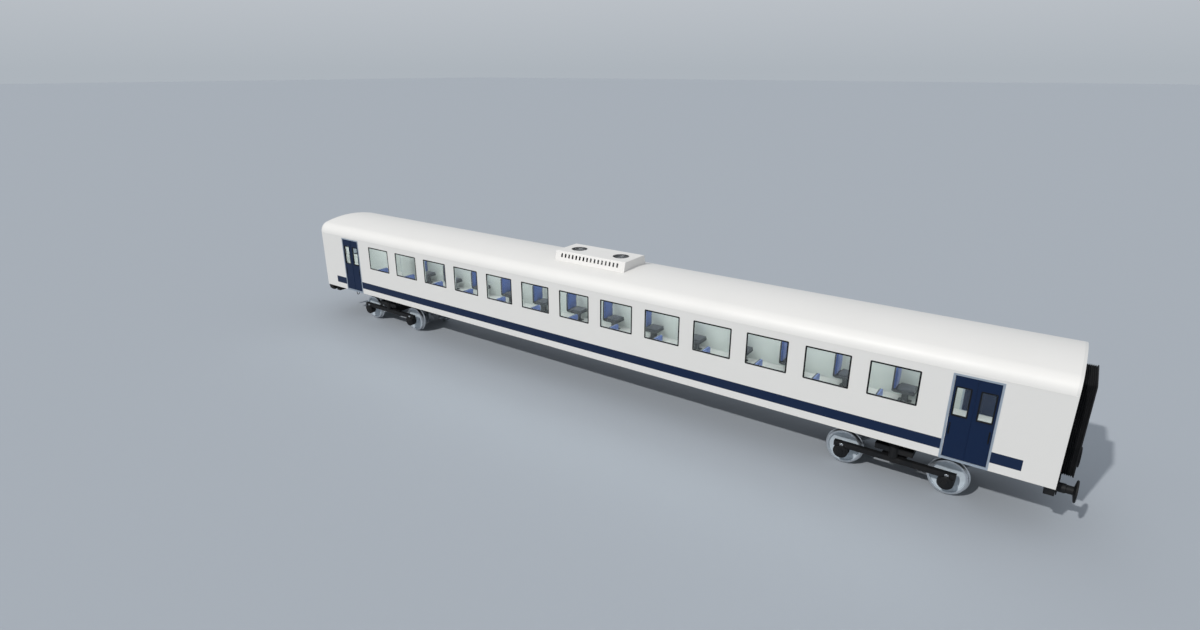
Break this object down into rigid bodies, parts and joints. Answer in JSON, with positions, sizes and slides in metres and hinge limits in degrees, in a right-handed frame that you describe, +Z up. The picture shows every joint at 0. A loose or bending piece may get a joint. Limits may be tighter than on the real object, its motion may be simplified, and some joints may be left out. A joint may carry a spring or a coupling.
{
  "type": "passenger coach",
  "caption": "White passenger coach with a navy band, on two four-wheel bogies, with folding doors, gangway bellows, buffers and a roof unit.",
  "frame": {"origin": "on the floor under the centre of the coach, at the level of the wheel flanges", "axes": "+X along the coach to its front end, +Y to its left side, +Z up"},
  "size_m": [26.92, 2.835, 4.2998],
  "materials": {
    "body_paint": "satin white paint with a navy band",
    "roof_paint": "satin white paint",
    "door_paint": "satin navy paint",
    "door_frame_metal": "brushed",
    "glass": "clear, lightly tinted",
    "bellows_rubber": "matt black",
    "frame_black": "matt black paint",
    "wheel_steel": "grey web, bright running surface",
    "axle_steel": "turned",
    "interior_panel": "fine texture",
    "floor_covering": "speckled sheet",
    "seat_grey": "fine texture",
    "seat_cloth_dark": "woven",
    "seat_cloth_blue": "woven",
    "rack_aluminium": "brushed",
    "fan_plastic": "matt"
  },
  "bodies": {
    "coach": {"underframe": "frame_black", "floor": "floor_covering", "right_side_wall": "body_paint", "left_side_wall": "body_paint", "cantrails": "body_paint", "roof": "roof_paint", "end_walls": "body_paint", "partitions": "interior_panel", "window_glass": "glass", "door_frames": "door_frame_metal", "gangway_bellows": "bellows_rubber", "buffers": "frame_black", "draw_hooks": "frame_black", "battery_boxes": "frame_black", "air_tanks": "frame_black", "roof_unit": "roof_paint", "seat_frames": "seat_grey", "seat_cushions": "seat_cloth_dark", "back_cushions": "seat_cloth_blue", "luggage_racks": "rack_aluminium"},
    "front_bogie": {"front_bogie_frame": "frame_black", "front_axleboxes": "frame_black"},
    "front_outer_wheelset": {"front_outer_axle": "axle_steel", "front_outer_wheels": "wheel_steel"},
    "front_inner_wheelset": {"front_inner_axle": "axle_steel", "front_inner_wheels": "wheel_steel"},
    "rear_bogie": {"rear_bogie_frame": "frame_black", "rear_axleboxes": "frame_black"},
    "rear_outer_wheelset": {"rear_outer_axle": "axle_steel", "rear_outer_wheels": "wheel_steel"},
    "rear_inner_wheelset": {"rear_inner_axle": "axle_steel", "rear_inner_wheels": "wheel_steel"},
    "front_right_lead_leaf": {"front_right_door_lead": "door_paint", "front_right_lead_glass": "glass"},
    "front_right_fold_leaf": {"front_right_door_fold": "door_paint", "front_right_fold_glass": "glass"},
    "front_left_lead_leaf": {"front_left_door_lead": "door_paint", "front_left_lead_glass": "glass"},
    "front_left_fold_leaf": {"front_left_door_fold": "door_paint", "front_left_fold_glass": "glass"},
    "rear_right_lead_leaf": {"rear_right_door_lead": "door_paint", "rear_right_lead_glass": "glass"},
    "rear_right_fold_leaf": {"rear_right_door_fold": "door_paint", "rear_right_fold_glass": "glass"},
    "rear_left_lead_leaf": {"rear_left_door_lead": "door_paint", "rear_left_lead_glass": "glass"},
    "rear_left_fold_leaf": {"rear_left_door_fold": "door_paint", "rear_left_fold_glass": "glass"},
    "front_sliding_door": {"front_end_door": "interior_panel", "front_end_door_glass": "glass"},
    "front_fan_rotor": {"front_fan": "fan_plastic"},
    "rear_sliding_door": {"rear_end_door": "interior_panel", "rear_end_door_glass": "glass"},
    "rear_fan_rotor": {"rear_fan": "fan_plastic"}
  },
  "joints": [
    {"name": "front_bogie_swivel", "type": "hinge", "parent": "coach", "child": "front_bogie", "pos_m": [9.68, 0, 0.95], "axis": [0, 0, 1], "range_deg": [-5, 5]},
    {"name": "front_outer_wheel_spin", "type": "hinge", "parent": "front_bogie", "child": "front_outer_wheelset", "pos_m": [10.93, 0, 0.49], "axis": [0, 1, 0], "continuous": true},
    {"name": "front_inner_wheel_spin", "type": "hinge", "parent": "front_bogie", "child": "front_inner_wheelset", "pos_m": [8.43, 0, 0.49], "axis": [0, 1, 0], "continuous": true},
    {"name": "rear_bogie_swivel", "type": "hinge", "parent": "coach", "child": "rear_bogie", "pos_m": [-9.68, 0, 0.95], "axis": [0, 0, 1], "range_deg": [-5, 5]},
    {"name": "rear_outer_wheel_spin", "type": "hinge", "parent": "rear_bogie", "child": "rear_outer_wheelset", "pos_m": [-10.93, 0, 0.49], "axis": [0, 1, 0], "continuous": true},
    {"name": "rear_inner_wheel_spin", "type": "hinge", "parent": "rear_bogie", "child": "rear_inner_wheelset", "pos_m": [-8.43, 0, 0.49], "axis": [0, 1, 0], "continuous": true},
    {"name": "front_right_door", "type": "hinge", "parent": "coach", "child": "front_right_lead_leaf", "pos_m": [11.69, -1.3645, 2.37], "axis": [0, 0, -1], "range_deg": [0, 85]},
    {"name": "front_right_door_fold", "type": "hinge", "parent": "front_right_lead_leaf", "child": "front_right_fold_leaf", "pos_m": [11.22701, -1.4075, 2.37], "axis": [0, 0, 1], "range_deg": [0, 172]},
    {"name": "front_left_door", "type": "hinge", "parent": "coach", "child": "front_left_lead_leaf", "pos_m": [11.69, 1.3645, 2.37], "axis": [0, 0, 1], "range_deg": [0, 85]},
    {"name": "front_left_door_fold", "type": "hinge", "parent": "front_left_lead_leaf", "child": "front_left_fold_leaf", "pos_m": [11.22701, 1.4075, 2.37], "axis": [0, 0, -1], "range_deg": [0, 172]},
    {"name": "rear_right_door", "type": "hinge", "parent": "coach", "child": "rear_right_lead_leaf", "pos_m": [-11.69, -1.3645, 2.37], "axis": [0, 0, 1], "range_deg": [0, 85]},
    {"name": "rear_right_door_fold", "type": "hinge", "parent": "rear_right_lead_leaf", "child": "rear_right_fold_leaf", "pos_m": [-11.22701, -1.4075, 2.37], "axis": [0, 0, -1], "range_deg": [0, 172]},
    {"name": "rear_left_door", "type": "hinge", "parent": "coach", "child": "rear_left_lead_leaf", "pos_m": [-11.69, 1.3645, 2.37], "axis": [0, 0, -1], "range_deg": [0, 85]},
    {"name": "rear_left_door_fold", "type": "hinge", "parent": "rear_left_lead_leaf", "child": "rear_left_fold_leaf", "pos_m": [-11.22701, 1.4075, 2.37], "axis": [0, 0, 1], "range_deg": [0, 172]},
    {"name": "front_end_door_slide", "type": "slide", "parent": "coach", "child": "front_sliding_door", "axis": [0, 1, 0], "range_m": [0, 0.85]},
    {"name": "front_fan_spin", "type": "hinge", "parent": "coach", "child": "front_fan_rotor", "pos_m": [0.81, 0, 4.23], "axis": [0, 0, 1], "continuous": true},
    {"name": "rear_end_door_slide", "type": "slide", "parent": "coach", "child": "rear_sliding_door", "axis": [0, 1, 0], "range_m": [0, 0.85]},
    {"name": "rear_fan_spin", "type": "hinge", "parent": "coach", "child": "rear_fan_rotor", "pos_m": [-0.81, 0, 4.23], "axis": [0, 0, 1], "continuous": true}
  ],
  "couplings": [
    {"joint": "front_right_door_fold", "follows": "front_right_door", "ratio": 2},
    {"joint": "front_left_door_fold", "follows": "front_left_door", "ratio": 2},
    {"joint": "rear_right_door_fold", "follows": "rear_right_door", "ratio": 2},
    {"joint": "rear_left_door_fold", "follows": "rear_left_door", "ratio": 2}
  ]
}
